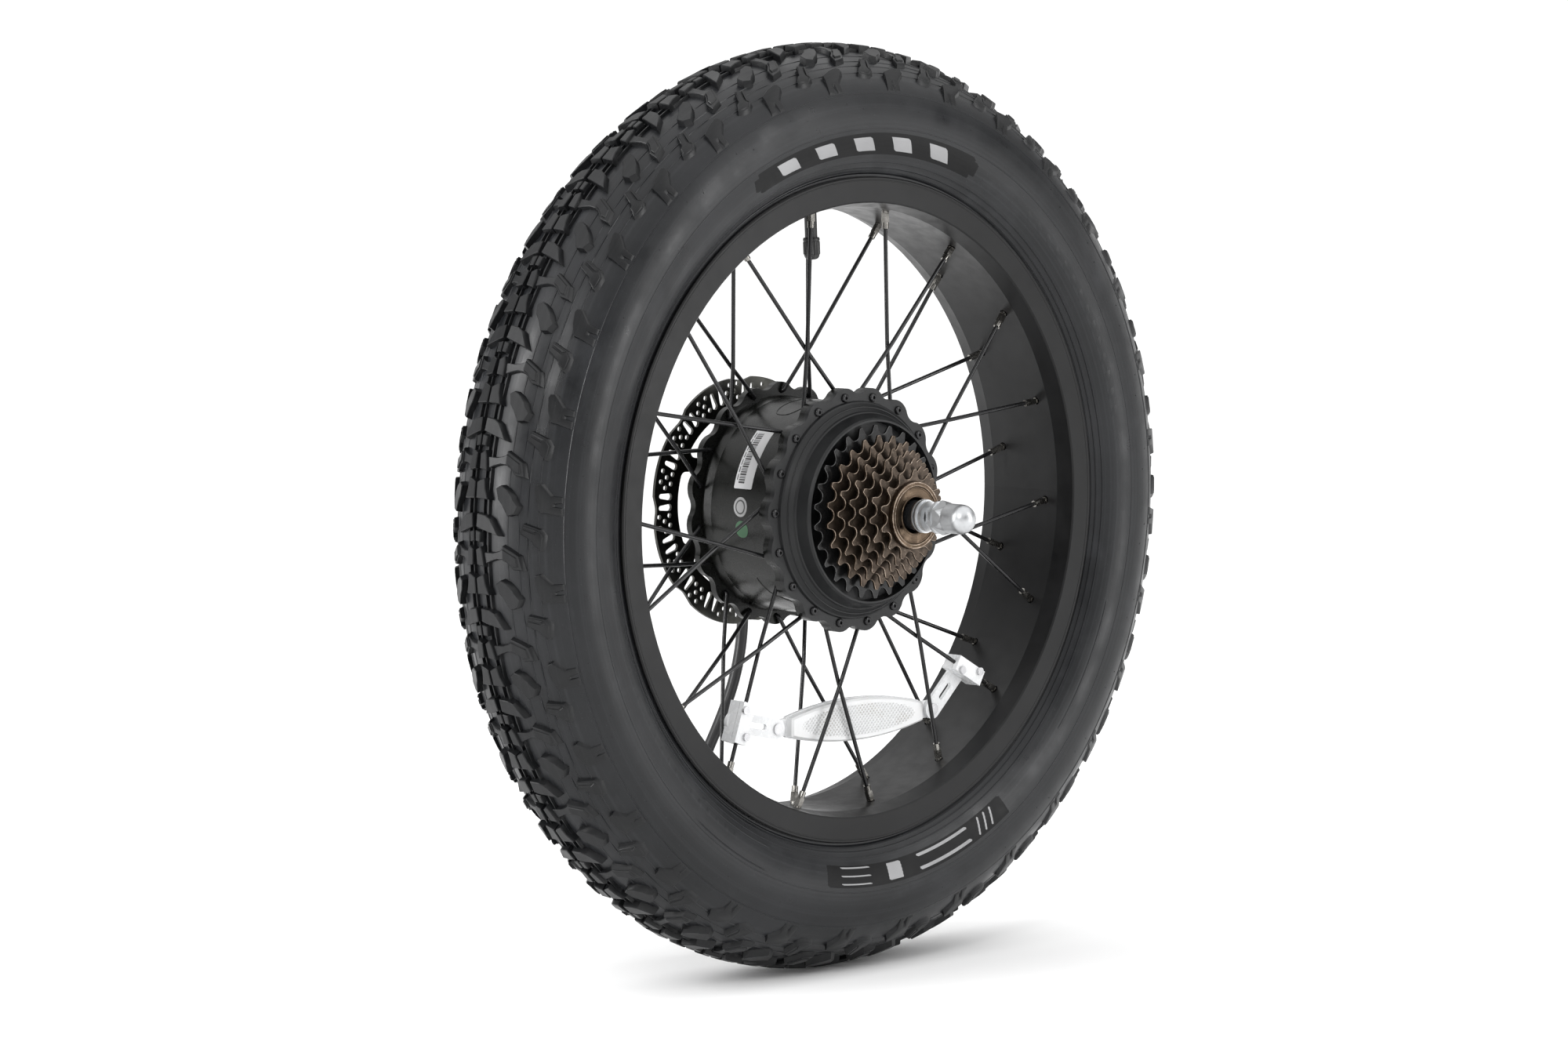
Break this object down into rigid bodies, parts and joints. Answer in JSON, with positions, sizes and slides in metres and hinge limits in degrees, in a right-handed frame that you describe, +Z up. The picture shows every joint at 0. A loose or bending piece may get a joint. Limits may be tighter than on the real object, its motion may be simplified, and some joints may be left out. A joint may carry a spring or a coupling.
{
  "type": "hub motor wheel",
  "caption": "Rear e-bike wheel on a fat knobbly tyre: geared hub motor, crossed spokes, freewheel sprockets, disc brake rotor, axle with nuts, motor cable and spoke reflector.",
  "frame": {"origin": "wheel centre: the axle's axis at the middle plane of the rim", "axes": "+X forward, +Y along the axle towards the brake disc side, +Z up"},
  "size_m": [0.585, 0.243, 0.585],
  "materials": {
    "tyre_rubber": "satin moulded rubber",
    "tube_rubber": "matt",
    "rim_paint": "satin black anodised look",
    "tape_fabric": "woven tape",
    "black_steel": "black coated steel",
    "nipple_metal": "nickel plated brass",
    "hub_paint": "satin black painted cast aluminium",
    "disc_steel": "ground stainless steel",
    "zinc": "bright zinc plate",
    "brown_steel": "brown phosphated steel",
    "freewheel_steel": "dark steel",
    "gear_steel": "machined steel",
    "gear_nylon": "natural nylon",
    "laminated_steel": "stacked laminations",
    "copper": "enamelled copper wire",
    "magnet": "nickel plated magnet",
    "board": "green circuit board",
    "aluminium": "machined aluminium",
    "seal_rubber": "black nitrile",
    "cable_sheath": "smooth black sheath",
    "black_plastic": "black moulded plastic",
    "clear_plastic": "clear prismatic plastic",
    "white_plastic": "white moulded plastic",
    "valve_brass": "brass"
  },
  "bodies": {
    "axle_assembly": {"axle": "zinc", "axle_washers": "zinc", "drive_side_acorn_nut": "zinc", "brake_side_nut": "zinc", "stator_core": "laminated_steel", "stator_windings": "copper", "stator_hub": "aluminium", "hall_sensor_board": "board", "planet_carrier": "gear_steel", "planet_pins": "gear_steel", "one_way_clutch": "gear_steel", "hub_bearing_inner_rings": "gear_steel", "rotor_bearing_inner_rings": "gear_steel", "motor_cable": "cable_sheath", "cable_grommet": "seal_rubber", "cable_connector": "black_plastic"},
    "wheel": {"tyre": "tyre_rubber", "inner_tube": "tube_rubber", "rim": "rim_paint", "rim_tape": "tape_fabric", "valve_stem": "valve_brass", "valve_cap": "black_plastic", "spokes_drive_side": "black_steel", "spokes_brake_side": "black_steel", "spoke_nipples": "nipple_metal", "hub_shell": "hub_paint", "drive_cover": "hub_paint", "cover_screws": "black_steel", "brake_disc": "disc_steel", "disc_bolts": "black_steel", "ring_gear": "gear_steel", "hub_bearing_outer_rings": "gear_steel", "hub_bearing_balls": "gear_steel", "brake_side_seal": "seal_rubber", "freewheel_inner_body": "freewheel_steel", "pawl_1": "gear_steel", "pawl_2": "gear_steel", "freewheel_cone": "brown_steel", "reflector_lens": "clear_plastic", "reflector_back": "white_plastic", "reflector_arms": "white_plastic", "reflector_clamps": "white_plastic", "reflector_fasteners": "disc_steel"},
    "freewheel": {"freewheel_outer_body": "brown_steel", "sprocket_26t": "black_steel", "sprocket_23t": "brown_steel", "sprocket_21t": "brown_steel", "sprocket_19t": "brown_steel", "sprocket_17t": "brown_steel", "sprocket_15t": "brown_steel", "sprocket_13t": "brown_steel"},
    "motor_rotor": {"rotor_bell": "gear_steel", "rotor_magnets": "magnet", "sun_gear": "gear_steel", "rotor_bearing_outer_rings": "gear_steel", "rotor_bearing_balls": "gear_steel"},
    "planet_1": {"planet_gear_1": "gear_nylon"},
    "planet_2": {"planet_gear_2": "gear_nylon"},
    "planet_3": {"planet_gear_3": "gear_nylon"}
  },
  "joints": [
    {"name": "wheel_spin", "type": "hinge", "parent": "axle_assembly", "child": "wheel", "pos_m": [0, 0, 0], "axis": [0, 1, 0], "continuous": true},
    {"name": "freewheel_spin", "type": "hinge", "parent": "wheel", "child": "freewheel", "pos_m": [0, -0.06, 0], "axis": [0, 1, 0], "continuous": true},
    {"name": "motor_rotor_spin", "type": "hinge", "parent": "axle_assembly", "child": "motor_rotor", "pos_m": [0, 0, 0], "axis": [0, 1, 0], "continuous": true},
    {"name": "planet_1_spin", "type": "hinge", "parent": "axle_assembly", "child": "planet_1", "pos_m": [0, -0.017, 0.03375], "axis": [0, 1, 0], "continuous": true},
    {"name": "planet_2_spin", "type": "hinge", "parent": "axle_assembly", "child": "planet_2", "pos_m": [-0.02923, -0.017, -0.01688], "axis": [0, 1, 0], "continuous": true},
    {"name": "planet_3_spin", "type": "hinge", "parent": "axle_assembly", "child": "planet_3", "pos_m": [0.02923, -0.017, -0.01688], "axis": [0, 1, 0], "continuous": true}
  ],
  "couplings": [
    {"joint": "motor_rotor_spin", "follows": "wheel_spin", "ratio": -5},
    {"joint": "planet_1_spin", "follows": "wheel_spin", "ratio": 2.5},
    {"joint": "planet_2_spin", "follows": "wheel_spin", "ratio": 2.5},
    {"joint": "planet_3_spin", "follows": "wheel_spin", "ratio": 2.5}
  ]
}
